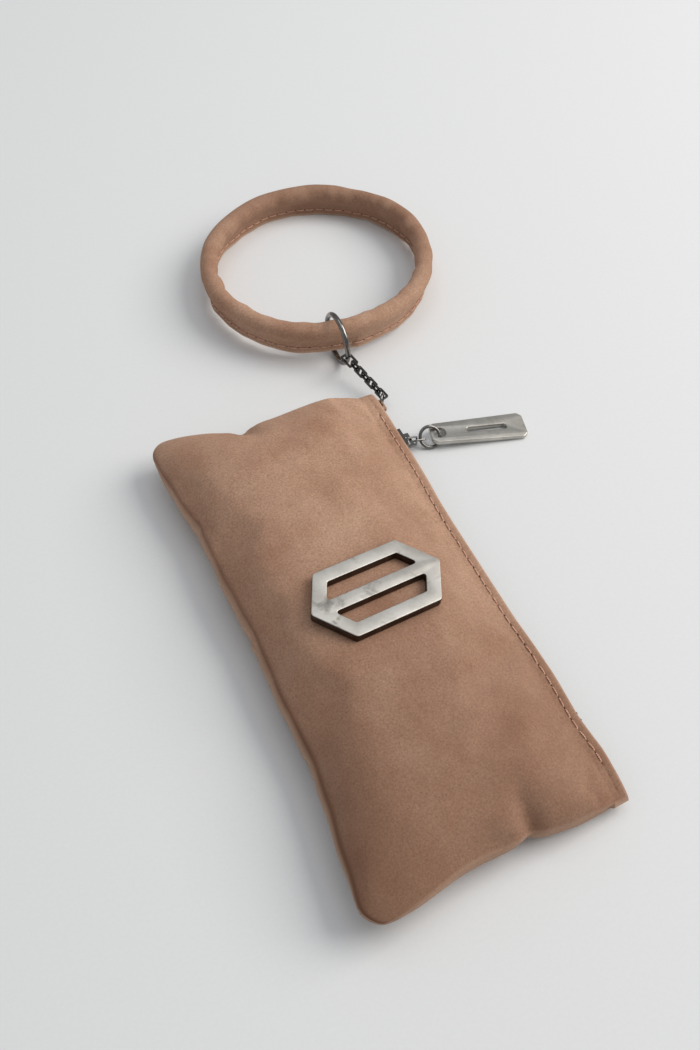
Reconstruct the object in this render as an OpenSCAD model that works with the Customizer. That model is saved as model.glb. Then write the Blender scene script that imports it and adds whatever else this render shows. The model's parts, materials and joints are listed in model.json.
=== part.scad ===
// Wristlet wallet: a padded suede pouch with a zip along one long edge, a metal plaque on the
// front, a bar pull on the zip, and a round wrist strap held by a ring and a short box chain.
// Millimetres, +Z up, lying on its back panel. +X is the zip edge, +Y runs towards the strap.

/* [Pouch] */
// Width from the seamed edge to the zip edge
pouch_w = 81.4; // [70:0.2:100]
// Length along the zip
pouch_l = 176; // [140:1:215]
// How far the front stands above the seam in the middle
front_rise = 14; // [11:0.5:18]
// Height of the side seam on the closed long edge
seam_h = 10.5; // [8:0.5:13]
// Height of the zip edge at the middle of its thickness
zip_h = 4.3; // [4:0.1:5]
// Radius of the two corners on the closed long edge
corner_r = 9; // [5:0.5:14]
// Thickness of the suede
suede_t = 1.2; // [0.8:0.1:1.4]
// Thickness of the soft interlining
interlining_t = 1.6; // [1:0.1:2.5]
// Thickness of the lining cloth
lining_t = 0.5; // [0.4:0.1:0.8]

/* [Zip] */
// Distance from one tooth to the next on one tape
tooth_pitch = 2.4; // [2:0.1:3.2]
// Size of a tooth through the zip, along the edge and across it
tooth_size = [1.5, 0.9, 1]; // [0.5:0.1:2]
// Gap between the two rows of teeth, which the slider's post runs in
tooth_gap = 1; // [0.9:0.1:1.4]
// Width of one tape
tape_w = 12; // [8:0.5:14]
// Thickness of the tapes
tape_t = 0.4; // [0.3:0.05:0.5]
// Distance from the strap end of the pouch to the zip's top stops
top_stop_in = 21.4; // [18:0.2:40]
// Distance from the far end of the pouch to the zip's bottom stop
bottom_stop_in = 12.5; // [10:0.5:20]
// Length of the slider along the zip
slider_l = 8; // [6:0.5:10]
// Width of the slider's outer plate
slider_w = 6.4; // [5:0.2:7]

/* [Zip pull] */
// Wire of the two small links
pull_wire = 0.7; // [0.5:0.05:0.8]
// Radius of the jump ring to the middle of its wire
jump_r = 3.7; // [3.4:0.1:4.5]
// Radius of the jump ring's wire
jump_wire_r = 0.6; // [0.4:0.05:0.65]
// Length of the bar pull
pull_l = 35; // [25:1:45]
// Width of the bar pull at the ring and at its free end
pull_w = [9, 11.4]; // [7:0.2:14]
// Thickness of the bar pull
pull_t = 1.6; // [1.2:0.1:1.8]

/* [Plaque] */
// Length of the plaque across the pouch
plaque_l = 46; // [34:1:56]
// Width of the plaque
plaque_w = 26; // [20:1:32]
// Thickness of the plaque
plaque_t = 3; // [2:0.1:4]
// Width of the plaque's frame
plaque_rim = 4.6; // [3.5:0.1:6]
// Gap between the plaque and the highest point of the front under it
plaque_gap = 0.4; // [0.3:0.1:1]

/* [Strap] */
// Radius of the wrist strap to the middle of its cord
strap_r = 42.5; // [34:0.5:50]
// Outer radius of the covered cord
strap_tube_r = 3.5; // [2.8:0.1:4]
// Radius of the cord inside
strap_core_r = 2.5; // [1.8:0.1:2.9]
// Height of the cord's middle over the strap's lower edge
strap_core_h = 9.3; // [8:0.1:10]
// Thickness of the two suede layers below the cord
strap_flange_t = 2.4; // [1.8:0.1:2.8]
// Radius of the large ring to the middle of its wire
o_ring_r = 9.2; // [8.8:0.1:12]
// Radius of the large ring's wire
o_ring_wire_r = 1; // [0.7:0.05:1.1]

/* [Chain] */
// Wire of the chain links, square in section
chain_wire = 0.75; // [0.6:0.05:0.85]
// Inner length of a chain link
chain_inner_l = 3.3; // [3:0.05:3.8]
// Inner width of a chain link
chain_inner_w = 1.75; // [1.6:0.05:2]
// Inner length and width of the larger last link
end_link_inner = [4.5, 2.8]; // [2.6:0.1:5]
// Radius of the small corner ring to the middle of its wire
corner_ring_r = 2.6; // [2.4:0.1:3.2]
// Radius of the small corner ring's wire
corner_ring_wire_r = 0.45; // [0.3:0.05:0.5]

/* [Stitching] */
// Distance from one stitch to the next
stitch_pitch = 4; // [3:0.1:5]
// Length of one visible stitch
stitch_l = 2.8; // [2:0.1:3.5]
// Radius of the thread
thread_r = 0.28; // [0.2:0.02:0.35]
// Distance of the row of stitches from the zip edge
stitch_in = 2.8; // [2.4:0.1:4]

/* [Hidden] */

$fn = 48;

suede = [0.66, 0.5, 0.41];
thread = [0.78, 0.62, 0.53];
foam = [0.93, 0.92, 0.88];
cloth = [0.3, 0.25, 0.22];
dark_tape = [0.16, 0.14, 0.13];
nickel = [0.66, 0.65, 0.62];
gunmetal = [0.3, 0.3, 0.31];

half_w = pouch_w / 2;
half_l = pouch_l / 2;
layer_gap = 0.35; // air between two layers of the wall
seam_gap = 0.1; // air between the front and the back half at the seam
edge_flat = 5; // flat strip along the zip edge that the stitches lie on
edge_lift = 0.7; // height of the zip edge over the floor
edge_half = zip_h - edge_lift; // half thickness of the zip edge
interlining_d = suede_t + layer_gap;
lining_d = interlining_d + interlining_t + layer_gap;
inner_edge = half_w - tape_w - 1.4; // where the lining and interlining stop
full_at = 34; // distance from the closed edge at which the pouch is full
end_full_mid = 42; // distance from an end at which its middle is full
end_full_zip = 10; // the same along the zip edge

function mix(a, b, q) = a + (b - a) * q;
function clamp01(q) = min(1, max(0, q));
function smooth(q) = let (c = clamp01(q)) c * c * (3 - 2 * c);
function bulge(q) = let (c = clamp01(q)) sqrt(1 - (1 - c) * (1 - c));

// height of the seam between the halves, and how thick each half is where it is full
function seam_z(x) = mix(seam_h, zip_h, clamp01((x + half_w) / (pouch_w - edge_flat)));
function front_full(x) =
    mix(front_rise, edge_half, pow(clamp01((x - 4) / (half_w - edge_flat - 4)), 2.2));
function back_full(x) = seam_z(x) - edge_lift * smooth((x - 20) / (half_w - edge_flat - 20)) - seam_gap / 2;

// share of the full thickness at a point of a layer that lies d inside the outer face
function fullness(x, y, d) =
    let (end_full = mix(end_full_mid, end_full_zip, smooth((x + 4) / (half_w - 4))))
    bulge((x - left_edge(y, d)) / (full_at - d))
    * bulge((half_l - d - abs(y)) / (end_full - d));
function left_edge(y, d) =
    let (r = corner_r - d, over = max(0, abs(y) - (half_l - corner_r)))
    d - half_w + r - sqrt(max(0, r * r - over * over));
function front_z(x, y, d) =
    seam_z(x) + seam_gap / 2 + (front_full(x) - d) * fullness(x, y, d);
function back_z(x, y, d) =
    seam_z(x) - seam_gap / 2 - (back_full(x) - d) * fullness(x, y, d);

// grid of one face of a layer: rows run along y, closer together at the ends and edges
cols = 14;
rows = 22;
function face_points(d, right, front) = [
    for (j = [0:rows])
        let (y = -(half_l - d) * cos(180 * j / rows), left = left_edge(y, d))
        for (i = [0:cols + 1])
            let (
                flat_at = right - (right == half_w ? edge_flat : 2),
                x = i > cols ? right : mix(left, flat_at, (1 - cos(180 * i / cols)) / 2)
            )
            [x, y, front ? front_z(x, y, d) : back_z(x, y, d)]
];

// closed shell between the faces at depths d_out and d_in, ending at x = right
module layer(d_out, d_in, right, front) {
    n = cols + 2;
    count = n * (rows + 1);
    grid = [for (j = [0:rows - 1]) for (i = [0:n - 2]) j * n + i];
    up = concat(
        [for (k = grid) [k, k + n + 1, k + 1]],
        [for (k = grid) [k, k + n, k + n + 1]]
    );
    rim = concat(
        [for (i = [0:n - 1]) i],
        [for (j = [1:rows]) j * n + n - 1],
        [for (i = [n - 2:-1:0]) rows * n + i],
        [for (j = [rows - 1:-1:1]) j * n]
    );
    side = [
        for (k = [0:len(rim) - 1])
            let (a = rim[k], b = rim[(k + 1) % len(rim)])
            each [[a, b, b + count], [a, b + count, a + count]]
    ];
    down = [for (f = up) [f[0] + count, f[2] + count, f[1] + count]];
    shell = concat(up, side, down);
    polyhedron(
        points = concat(face_points(d_out, right, front), face_points(d_in, right, front)),
        faces = front ? shell : [for (f = shell) [f[0], f[2], f[1]]]
    );
}

module in_place() {
    translate([-x_mid, -y_mid, 0]) children();
}

// ---- pouch ----

module front_panel() {
    color(suede) in_place() difference() {
        layer(0, suede_t, half_w, true);
        plaque_place() post_holes(post_hole_r);
    }
}

module back_panel() {
    color(suede) in_place() layer(0, suede_t, half_w, false);
}

module front_interlining() {
    color(foam) in_place() difference() {
        layer(interlining_d, interlining_d + interlining_t, inner_edge, true);
        plaque_place() post_holes(washer_r + 0.4);
    }
}

module back_interlining() {
    color(foam) in_place()
        layer(interlining_d, interlining_d + interlining_t, inner_edge, false);
}

module front_lining() {
    color(cloth) in_place() layer(lining_d, lining_d + lining_t, inner_edge, true);
}

module back_lining() {
    color(cloth) in_place() layer(lining_d, lining_d + lining_t, inner_edge, false);
}

// ---- zip, in the plane of the edge ----

teeth_x = half_w - 0.2 - tooth_size[0]; // inner side of the teeth
root_z = tooth_gap / 2 + tooth_size[2]; // where a tooth meets its tape, from the middle
tape_end = half_l - 10;
tape_z = root_z + 0.3; // inner face of the tape's flat part, from the middle
first_tooth = -(half_l - bottom_stop_in) + 1;
last_tooth = half_l - top_stop_in - 0.6;
stop_l = 2;
tooth_count = floor((last_tooth - first_tooth - tooth_size[1]) / tooth_pitch - 0.5);

// front half of a zip piece, or its mirror image on the back half
module zip_side(front) {
    translate([0, 0, zip_h]) mirror([0, 0, front ? 0 : 1]) children();
}

module zip_tape(front) {
    color(dark_tape) in_place() zip_side(front) rotate([90, 0, 0])
        linear_extrude(height = 2 * tape_end, center = true) {
            translate([half_w - 0.7 - tape_w, tape_z]) square([tape_w, tape_t]);
            translate([half_w - 0.7 - tape_t, root_z]) square([tape_t, tape_z + tape_t - root_z]);
        }
}

module zip_teeth(front) {
    color(gunmetal) in_place() zip_side(front)
        for (k = [0:tooth_count])
            translate([teeth_x, first_tooth + (k + (front ? 0.5 : 0)) * tooth_pitch, tooth_gap / 2])
                cube(tooth_size);
}

module front_zip_tape() {
    zip_tape(true);
}

module back_zip_tape() {
    zip_tape(false);
}

module front_zip_teeth() {
    zip_teeth(true);
}

module back_zip_teeth() {
    zip_teeth(false);
}

module zip_top_stops() {
    color(gunmetal) in_place()
        for (front = [true, false])
            zip_side(front)
                translate([teeth_x, half_l - top_stop_in, tooth_gap / 2])
                    cube([tooth_size[0], stop_l, tooth_size[2]]);
}

module zip_bottom_stop() {
    color(gunmetal) in_place()
        translate([teeth_x, bottom_stop_in - half_l - stop_l, zip_h - root_z])
            cube([tooth_size[0], stop_l, 2 * root_z]);
}

// one row of stitches on the flat strip along the zip edge
stitch_span = pouch_l - 2 * (end_full_zip + 2);
stitch_count = floor(stitch_span / stitch_pitch);
edge_face = edge_half + seam_gap / 2; // outer face of the strip, from the middle

module edge_stitches(front) {
    color(thread) in_place() zip_side(front)
        for (k = [0:stitch_count - 1])
            translate([half_w - stitch_in, (k - (stitch_count - 1) / 2) * stitch_pitch, edge_face])
                translate([0, 0, thread_r]) rotate([90, 0, 0])
                    cylinder(r = thread_r, h = stitch_l, center = true);
}

module front_edge_stitching() {
    edge_stitches(true);
}

module back_edge_stitching() {
    edge_stitches(false);
}

// ---- plaque ----

plaque_turn = 7; // turn about the vertical
plaque_y = -2.5; // place along the pouch, from its middle
post_r = 0.9;
post_hole_r = 1.1;
post_out = min(18, plaque_l / 2 - 4); // distance of each post from the plaque's middle

// the plaque leans as the front does between its two posts, and clears the crown between them
post_left_z = front_z(-post_out, plaque_y, 0);
post_right_z = front_z(post_out, plaque_y, 0);
plaque_tilt = atan((post_left_z - post_right_z) / (2 * post_out));
function post_line(x) = mix(post_left_z, post_right_z, (x + post_out) / (2 * post_out));
crown = max([for (x = [-12:3:12], y = [-8, 0, 8]) front_z(x, plaque_y + y, 0) - post_line(x)]);
plaque_lift = crown + plaque_gap;
plaque_h = post_line(0) + plaque_lift;
post_l = plaque_lift + suede_t + 1.2;
washer_r = 2.4;
washer_t = 0.4;

module plaque_place() {
    translate([0, plaque_y, plaque_h]) rotate([0, plaque_tilt, plaque_turn]) children();
}

module long_hexagon(l, w, point) {
    polygon([
        [-l / 2, 0], [-l / 2 + point, w / 2], [l / 2 - point, w / 2],
        [l / 2, 0], [l / 2 - point, -w / 2], [-l / 2 + point, -w / 2]
    ]);
}

module plaque() {
    point = plaque_w / 3.2;
    color(nickel) in_place() plaque_place() linear_extrude(height = plaque_t) difference() {
        long_hexagon(plaque_l, plaque_w, point);
        difference() {
            long_hexagon(plaque_l - 2.3 * plaque_rim, plaque_w - 2 * plaque_rim, point * 0.65);
            square([plaque_l, plaque_rim], center = true);
        }
    }
}

module plaque_posts() {
    color(nickel) in_place() plaque_place()
        for (side = [-1, 1])
            translate([side * post_out, 0, -post_l])
                cylinder(r = post_r, h = post_l);
}

module post_holes(r) {
    for (side = [-1, 1])
        translate([side * post_out, 0, -post_l - 1])
            cylinder(r = r, h = post_l + 2);
}

module plaque_washers() {
    color(nickel) in_place() plaque_place()
        for (side = [-1, 1])
            translate([side * post_out, 0, -post_l]) difference() {
                cylinder(r = washer_r, h = washer_t);
                translate([0, 0, -1]) cylinder(r = post_r + 0.05, h = washer_t + 2);
            }
}

// ---- corner tab and ring ----

tab_y = half_l - 7; // middle of the tab along the zip edge
tab_w = 5;
tab_t = 1.2;
tab_out = 2.7; // how far the tab stands out of the edge
tab_hole_r = 0.9;
tab_hole_x = half_w + tab_out - 1.5;
corner_ring_dir = 53; // direction of the small ring's middle from the tab's hole

module corner_tab() {
    color(suede) in_place() difference() {
        translate([half_w - 6, tab_y - tab_w / 2, zip_h - tab_t / 2])
            cube([6 + tab_out, tab_w, tab_t]);
        translate([tab_hole_x, tab_y, zip_h - tab_t]) cylinder(r = tab_hole_r, h = 2 * tab_t);
    }
}

module torus(r, wire_r) {
    rotate_extrude() translate([r, 0]) circle(r = wire_r);
}

function around(r, a) = [r * cos(a), r * sin(a), 0];
function corner_ring_at() = [tab_hole_x, tab_y, zip_h] + around(corner_ring_r, corner_ring_dir);

module corner_ring() {
    color(nickel) in_place()
        translate(corner_ring_at()) rotate([90, 0, corner_ring_dir])
            torus(corner_ring_r, corner_ring_wire_r);
}

// ---- slider ----

slider_y = half_l - top_stop_in - slider_l / 2 - 0.6; // middle of the slider, zip closed
plate_t = 1.1;
outer_plate_x = half_w + 0.3;
inner_plate_w = 2 * tape_z - 0.5;
inner_plate_x = teeth_x - 0.4 - plate_t;
post_w = tooth_gap - 0.3;
bridge_wire = 1.1; // thickness of the bridge away from the plate
bridge_w = 1; // width of the bridge across the zip
bridge_gap = 1.8; // clear height under the bridge
bridge_l = 6.4;

module slider_body() {
    color(gunmetal) in_place() translate([0, slider_y, zip_h]) {
        translate([outer_plate_x, -slider_l / 2, -slider_w / 2])
            cube([plate_t, slider_l, slider_w]);
        translate([inner_plate_x, -slider_l / 2, -inner_plate_w / 2])
            cube([plate_t, slider_l, inner_plate_w]);
        translate([inner_plate_x, slider_l / 2 - 2.4, -post_w / 2])
            cube([outer_plate_x - inner_plate_x + plate_t, 2, post_w]);
    }
}

module slider_bridge() {
    out = bridge_gap + bridge_wire;
    color(gunmetal) in_place() translate([outer_plate_x + plate_t, slider_y, zip_h])
        linear_extrude(height = bridge_w, center = true) difference() {
            translate([0, -bridge_l / 2]) square([out, bridge_l]);
            translate([0, bridge_wire - bridge_l / 2])
                square([bridge_gap, bridge_l - 2 * bridge_wire]);
        }
}

// ---- links ----

module round_rect(l, w, r) {
    square([l, w - 2 * r], center = true);
    square([l - 2 * r, w], center = true);
    for (x = [-1, 1], y = [-1, 1])
        translate([x * (l / 2 - r), y * (w / 2 - r)]) circle(r = r);
}

// a link along x, with its width along y
module link(inner_l, inner_w, wire) {
    linear_extrude(height = wire, center = true) difference() {
        round_rect(inner_l + 2 * wire, inner_w + 2 * wire, wire);
        round_rect(inner_l, inner_w, wire * 0.4);
    }
}

// children along x laid on the line from a to b, at a distance from a, rolled about the line
module on_line(a, b, along, roll) {
    d = b - a;
    flat = norm([d[0], d[1]]);
    translate(a + d * along / norm(d))
        rotate([0, -atan2(d[2], flat), atan2(d[1], d[0])]) rotate([roll, 0, 0]) children();
}

// ---- zip pull ----

pull_inner_l = 3.2;
pull_inner_w = [2.4, 2];
pull_step = pull_inner_l - 0.35; // from one small link to the next
pull_from = [outer_plate_x + plate_t + 0.5 + pull_wire / 2, slider_y - 0.5, zip_h];
pull_len = 0.5 * pull_wire + pull_inner_l / 2 + pull_step + pull_inner_l / 2 - 0.2 - jump_wire_r;
jump_lean = 40; // tilt of the jump ring from the floor
jump_z = jump_r * sin(jump_lean) + jump_wire_r;
pull_to = [pull_from[0] + sqrt(pow(pull_len, 2) - pow(zip_h - jump_z, 2)), pull_from[1], jump_z];
jump_at = pull_to + [jump_r, 0, 0];
pull_hole = jump_at + [jump_r, 0, 0];
pull_hole_r = 2.3;
pull_end_in = 3.3; // from the pull's near end to its hole
pull_dir = -13; // direction of the bar pull on the floor
pull_slope = asin((pull_hole[2] - pull_t / 2) / (pull_l - pull_end_in));
pull_bevel = 1.6;

module pull_link_1() {
    color(gunmetal) in_place()
        on_line(pull_from, pull_to, pull_wire / 2 + pull_inner_l / 2, 65)
            link(pull_inner_l, pull_inner_w[0], pull_wire);
}

module pull_link_2() {
    color(gunmetal) in_place()
        on_line(pull_from, pull_to, pull_wire / 2 + pull_inner_l / 2 + pull_step, 130)
            link(pull_inner_l, pull_inner_w[1], pull_wire);
}

module jump_ring() {
    color(gunmetal) in_place() translate(jump_at) rotate([jump_lean, 0, 0])
        torus(jump_r, jump_wire_r);
}

module pull_bar() {
    far = pull_l - pull_end_in;
    near_w = pull_w[0] / 2;
    far_w = pull_w[1] / 2;
    color(nickel) in_place() translate(pull_hole) rotate([0, pull_slope, pull_dir])
        linear_extrude(height = pull_t, center = true) difference() {
            polygon([
                [-pull_end_in, near_w - pull_bevel], [pull_bevel - pull_end_in, near_w],
                [far - pull_bevel, far_w], [far, far_w - pull_bevel],
                [far, pull_bevel - far_w], [far - pull_bevel, -far_w],
                [pull_bevel - pull_end_in, -near_w], [-pull_end_in, pull_bevel - near_w]
            ]);
            circle(r = pull_hole_r);
            translate([far * 0.55, 0]) round_rect(far * 0.46, 2.2, 1.05);
        }
}

// ---- strap, its ring and the chain ----

strap_dir = [10.7, 41.1]; // from the large ring to the strap's middle, as a direction
strap_lift = 3.1; // height of the strap's lower edge over the floor, where the ring passes under it
o_ring_z = o_ring_r + o_ring_wire_r;
strap_gap = 2; // from the large ring's middle to the strap's cord
strap_tilt = asin(strap_lift / (2 * strap_r));
chain_reach = [-5.4, 19.2]; // from the small ring to the large one, as a direction
chain_rise = 4; // climb of the chain on that way
chain_step = chain_inner_l - 0.35; // from one link to the next
end_step = (chain_inner_l + end_link_inner[0]) / 2 - 0.4;
chain_first = chain_inner_l / 2 - corner_ring_wire_r - 0.2;
chain_last = end_link_inner[0] / 2 - o_ring_wire_r - 0.25;
chain_len = chain_first + 5 * chain_step + end_step + chain_last;

chain_from = corner_ring_at() + around(corner_ring_r, corner_ring_dir);
chain_flat = sqrt(chain_len * chain_len - chain_rise * chain_rise);
chain_to = chain_from + [
    chain_reach[0] * chain_flat / norm(chain_reach),
    chain_reach[1] * chain_flat / norm(chain_reach),
    chain_rise
];

// the large ring stands upright in the plane across x, its near side in the last link
function o_ring_at() =
    let (dz = o_ring_z - chain_to[2])
    [chain_to[0], chain_to[1] + sqrt(o_ring_r * o_ring_r - dz * dz), o_ring_z];
function strap_at() =
    let (side = strap_dir[0] * strap_r / norm(strap_dir))
    [
        o_ring_at()[0] + side,
        o_ring_at()[1] + strap_gap + sqrt(strap_r * strap_r - side * side),
        (strap_r + strap_flange_t / 2) * sin(strap_tilt)
    ];

// the middle of the whole object, which the model is centred on
lean = strap_core_h * sin(strap_tilt) / norm(strap_dir); // how far the strap's widest height leans out
x_mid = (strap_at()[0] + lean * strap_dir[0] + strap_r + strap_tube_r - half_w) / 2;
y_mid = (strap_at()[1] + lean * strap_dir[1] + strap_r + strap_tube_r - half_l) / 2;

module chain_link(k) {
    color(gunmetal) in_place()
        on_line(chain_from, chain_to, chain_first + (k - 1) * chain_step, k % 2 == 1 ? 0 : 90)
            link(chain_inner_l, chain_inner_w, chain_wire);
}

module chain_link_1() {
    chain_link(1);
}

module chain_link_2() {
    chain_link(2);
}

module chain_link_3() {
    chain_link(3);
}

module chain_link_4() {
    chain_link(4);
}

module chain_link_5() {
    chain_link(5);
}

module chain_link_6() {
    chain_link(6);
}

module chain_link_7() {
    color(gunmetal) in_place()
        on_line(chain_from, chain_to, chain_first + 5 * chain_step + end_step, 0)
            link(end_link_inner[0], end_link_inner[1], chain_wire);
}

module o_ring() {
    color(gunmetal) in_place() translate(o_ring_at()) rotate([0, 90, 0])
        torus(o_ring_r, o_ring_wire_r);
}

// the strap's own frame: +Z is its axis, its lower edge lies at z = 0, and it leans so that the
// side at the large ring is lifted and the far side is on the floor
module strap_place() {
    turn = atan2(strap_dir[1], strap_dir[0]);
    in_place() translate(strap_at()) rotate([0, 0, turn]) rotate([0, strap_tilt, 0]) children();
}

// section of the cover: a round top over the cord that runs down into two flat layers
cover_from = -28; // where the round top begins, as an angle at the cord's middle
cover_steps = 18;
cover_hole_sides = 12;

module strap_cover() {
    t = strap_flange_t / 2;
    shoulder = strap_core_h - strap_tube_r - 1.4;
    top = [
        for (k = [0:cover_steps])
            let (a = cover_from + k * (180 - 2 * cover_from) / cover_steps)
            [strap_tube_r * cos(a), strap_core_h + strap_tube_r * sin(a)]
    ];
    color(suede) strap_place() rotate_extrude($fn = 96) translate([strap_r, 0]) difference() {
        polygon(concat([[-t, 0], [t, 0], [t, shoulder]], top, [[-t, shoulder]]));
        translate([0, strap_core_h])
            circle(r = (strap_core_r + 0.05) / cos(180 / cover_hole_sides), $fn = cover_hole_sides);
    }
}

module strap_core() {
    color(foam) strap_place() rotate_extrude($fn = 96) translate([strap_r, strap_core_h])
        circle(r = strap_core_r);
}

strap_stitches = floor(360 / (stitch_pitch / strap_r * 180 / PI));
strap_stitch_h = 2.6;

module strap_stitching() {
    color(thread) strap_place()
        for (k = [0:strap_stitches - 1], side = [-1, 1])
            rotate([0, 0, k * 360 / strap_stitches])
                translate([strap_r + side * (strap_flange_t / 2 + thread_r + 0.04), 0, strap_stitch_h])
                    rotate([90, 0, 0]) cylinder(r = thread_r, h = stitch_l, center = true);
}

front_panel();
back_panel();
front_interlining();
back_interlining();
front_lining();
back_lining();
front_zip_tape();
back_zip_tape();
front_zip_teeth();
back_zip_teeth();
zip_top_stops();
zip_bottom_stop();
front_edge_stitching();
back_edge_stitching();
plaque();
plaque_posts();
plaque_washers();
corner_tab();
slider_body();
slider_bridge();
pull_link_1();
pull_link_2();
jump_ring();
pull_bar();
corner_ring();
chain_link_1();
chain_link_2();
chain_link_3();
chain_link_4();
chain_link_5();
chain_link_6();
chain_link_7();
o_ring();
strap_cover();
strap_core();
strap_stitching();
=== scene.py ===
# Wristlet wallet: suede pouch, wrist strap, chain and zip pull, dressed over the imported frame
import bpy
import bmesh
import json
import math
import numpy as np
from mathutils import Matrix, Vector
from mathutils.bvhtree import BVHTree


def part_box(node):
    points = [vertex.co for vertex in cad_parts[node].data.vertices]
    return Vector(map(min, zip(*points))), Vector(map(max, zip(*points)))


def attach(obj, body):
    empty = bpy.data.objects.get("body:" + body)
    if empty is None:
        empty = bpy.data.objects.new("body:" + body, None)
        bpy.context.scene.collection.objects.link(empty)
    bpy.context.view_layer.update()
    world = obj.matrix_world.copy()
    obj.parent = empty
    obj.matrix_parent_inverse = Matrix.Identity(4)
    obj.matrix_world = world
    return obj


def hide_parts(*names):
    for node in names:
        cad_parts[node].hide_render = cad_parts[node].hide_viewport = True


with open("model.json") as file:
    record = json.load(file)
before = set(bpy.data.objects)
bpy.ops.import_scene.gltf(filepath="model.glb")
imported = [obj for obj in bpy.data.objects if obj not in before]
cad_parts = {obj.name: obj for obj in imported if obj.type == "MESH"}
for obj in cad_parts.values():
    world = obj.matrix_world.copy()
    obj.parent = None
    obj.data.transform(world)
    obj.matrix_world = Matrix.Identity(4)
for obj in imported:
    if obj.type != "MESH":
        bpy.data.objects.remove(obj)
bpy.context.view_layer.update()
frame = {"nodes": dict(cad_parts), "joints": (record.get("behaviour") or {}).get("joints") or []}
scene = bpy.context.scene


# small helpers

def linearColour(hexText):
    parts = [int(hexText[i:i + 2], 16) / 255 for i in (1, 3, 5)]
    return tuple(c / 12.92 if c <= 0.04045 else ((c + 0.055) / 1.055) ** 2.4 for c in parts) + (1.0,)


def addNode(tree, kind, settings=None, links=None):
    # settings name a property of the node or one of its inputs, links go from an output to an input
    node = tree.nodes.new("ShaderNode" + kind)
    for key, value in (settings or {}).items():
        if isinstance(key, str) and hasattr(node, key) and key not in node.inputs:
            setattr(node, key, value)
        else:
            node.inputs[key].default_value = value
    for key, output in (links or {}).items():
        tree.links.new(output, node.inputs[key])
    return node


def newMaterial(name, shaderSettings):
    material = bpy.data.materials.new(name)
    material.use_nodes = True
    tree = material.node_tree
    tree.nodes.clear()
    shader = addNode(tree, "BsdfPrincipled", shaderSettings)
    addNode(tree, "OutputMaterial", None, {"Surface": shader.outputs[0]})
    place = addNode(tree, "TexCoord").outputs["Object"]
    return material, tree, shader, place


def setRamp(node, stops):
    ramp = node.color_ramp
    while len(ramp.elements) > 1:
        ramp.elements.remove(ramp.elements[-1])
    ramp.elements[0].position, ramp.elements[0].color = stops[0]
    for position, colour in stops[1:]:
        ramp.elements.new(position).color = colour
    return node.outputs["Color"]


def boxMiddle(node):
    low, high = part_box(node)
    return (low + high) / 2


def turnAbout(axis, degrees):
    return Matrix.Rotation(math.radians(degrees), 3, axis)


def clamp01(q):
    return np.clip(q, 0, 1)


def smoothStep(q):
    c = clamp01(q)
    return c * c * (3 - 2 * c)


def roundRise(q):
    # quarter ellipse, from 0 at the seam to 1 where the pouch is full
    c = clamp01(q)
    return np.sqrt(np.maximum(0, 1 - (1 - c) ** 2))


def softCurve(stops, at, soften):
    # line through the stops, rounded off over about 'soften' millimetres
    xs, ys = np.array(stops, float).T
    dense = np.linspace(xs[0] - 30, xs[-1] + 30, 900)
    step = dense[1] - dense[0]
    reach = np.arange(-int(3 * soften / step), int(3 * soften / step) + 1) * step
    weight = np.exp(-(reach / soften) ** 2)
    padded = np.pad(np.interp(dense, xs, ys), len(reach) // 2, "edge")
    values = np.convolve(padded, weight / weight.sum(), "valid")
    return np.interp(at, dense, values)


def gridFaces(rows, cols, wrapRows=False, wrapCols=False, flip=False):
    rowSteps = np.arange(rows if wrapRows else rows - 1)
    colSteps = np.arange(cols if wrapCols else cols - 1)
    j, i = np.meshgrid(rowSteps, colSteps, indexing="ij")
    a = j * cols + i
    b = j * cols + (i + 1) % cols
    c = (j + 1) % rows * cols + (i + 1) % cols
    d = (j + 1) % rows * cols + i
    faces = np.stack([a, b, c, d], -1).reshape(-1, 4)
    return (faces[:, ::-1] if flip else faces).tolist()


def makeMesh(name, points, faces, materials, body):
    mesh = bpy.data.meshes.new(name)
    mesh.from_pydata(np.asarray(points, float).reshape(-1, 3).tolist(), [], faces)
    mesh.update()
    for material in materials:
        mesh.materials.append(material)
    mesh.shade_smooth()
    obj = bpy.data.objects.new(name, mesh)
    scene.collection.objects.link(obj)
    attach(obj, body)
    return obj


def setAttribute(obj, name, values):
    attribute = obj.data.attributes.new(name, "FLOAT", "POINT")
    attribute.data.foreach_set("value", np.asarray(values, np.float32).ravel())


def copies(template, places):
    # one mesh of the same small piece at many places; a place is a 3x3 turn and a point
    points, faces = template
    allPoints = np.concatenate([points @ turn.T + at for turn, at in places])
    allFaces = [[k + n * len(points) for k in face] for n in range(len(places)) for face in faces]
    return allPoints, allFaces


def dressNode(node, material, bevel=0.0, slim=0.0):
    # a frame node whose shape is right: its edges are eased, and 'slim' mm taken off all round
    # where two pieces swing close by each other
    obj = frame["nodes"][node]
    obj.data.materials.clear()
    obj.data.materials.append(material)
    if not bevel:
        return
    weld = obj.modifiers.new("weld", "WELD")
    weld.merge_threshold = 0.000002
    if slim:
        thinner = obj.modifiers.new("slim", "DISPLACE")
        thinner.strength = -slim / 1000
        thinner.mid_level = 0.0
    ease = obj.modifiers.new("ease", "BEVEL")
    ease.width = bevel / 1000
    ease.segments = 3
    ease.limit_method = "ANGLE"
    ease.angle_limit = math.radians(35)
    ease.harden_normals = False
    for polygon in obj.data.polygons:
        polygon.use_smooth = True
    normals = obj.modifiers.new("normals", "WEIGHTED_NORMAL")
    normals.keep_sharp = True


# materials

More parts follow.
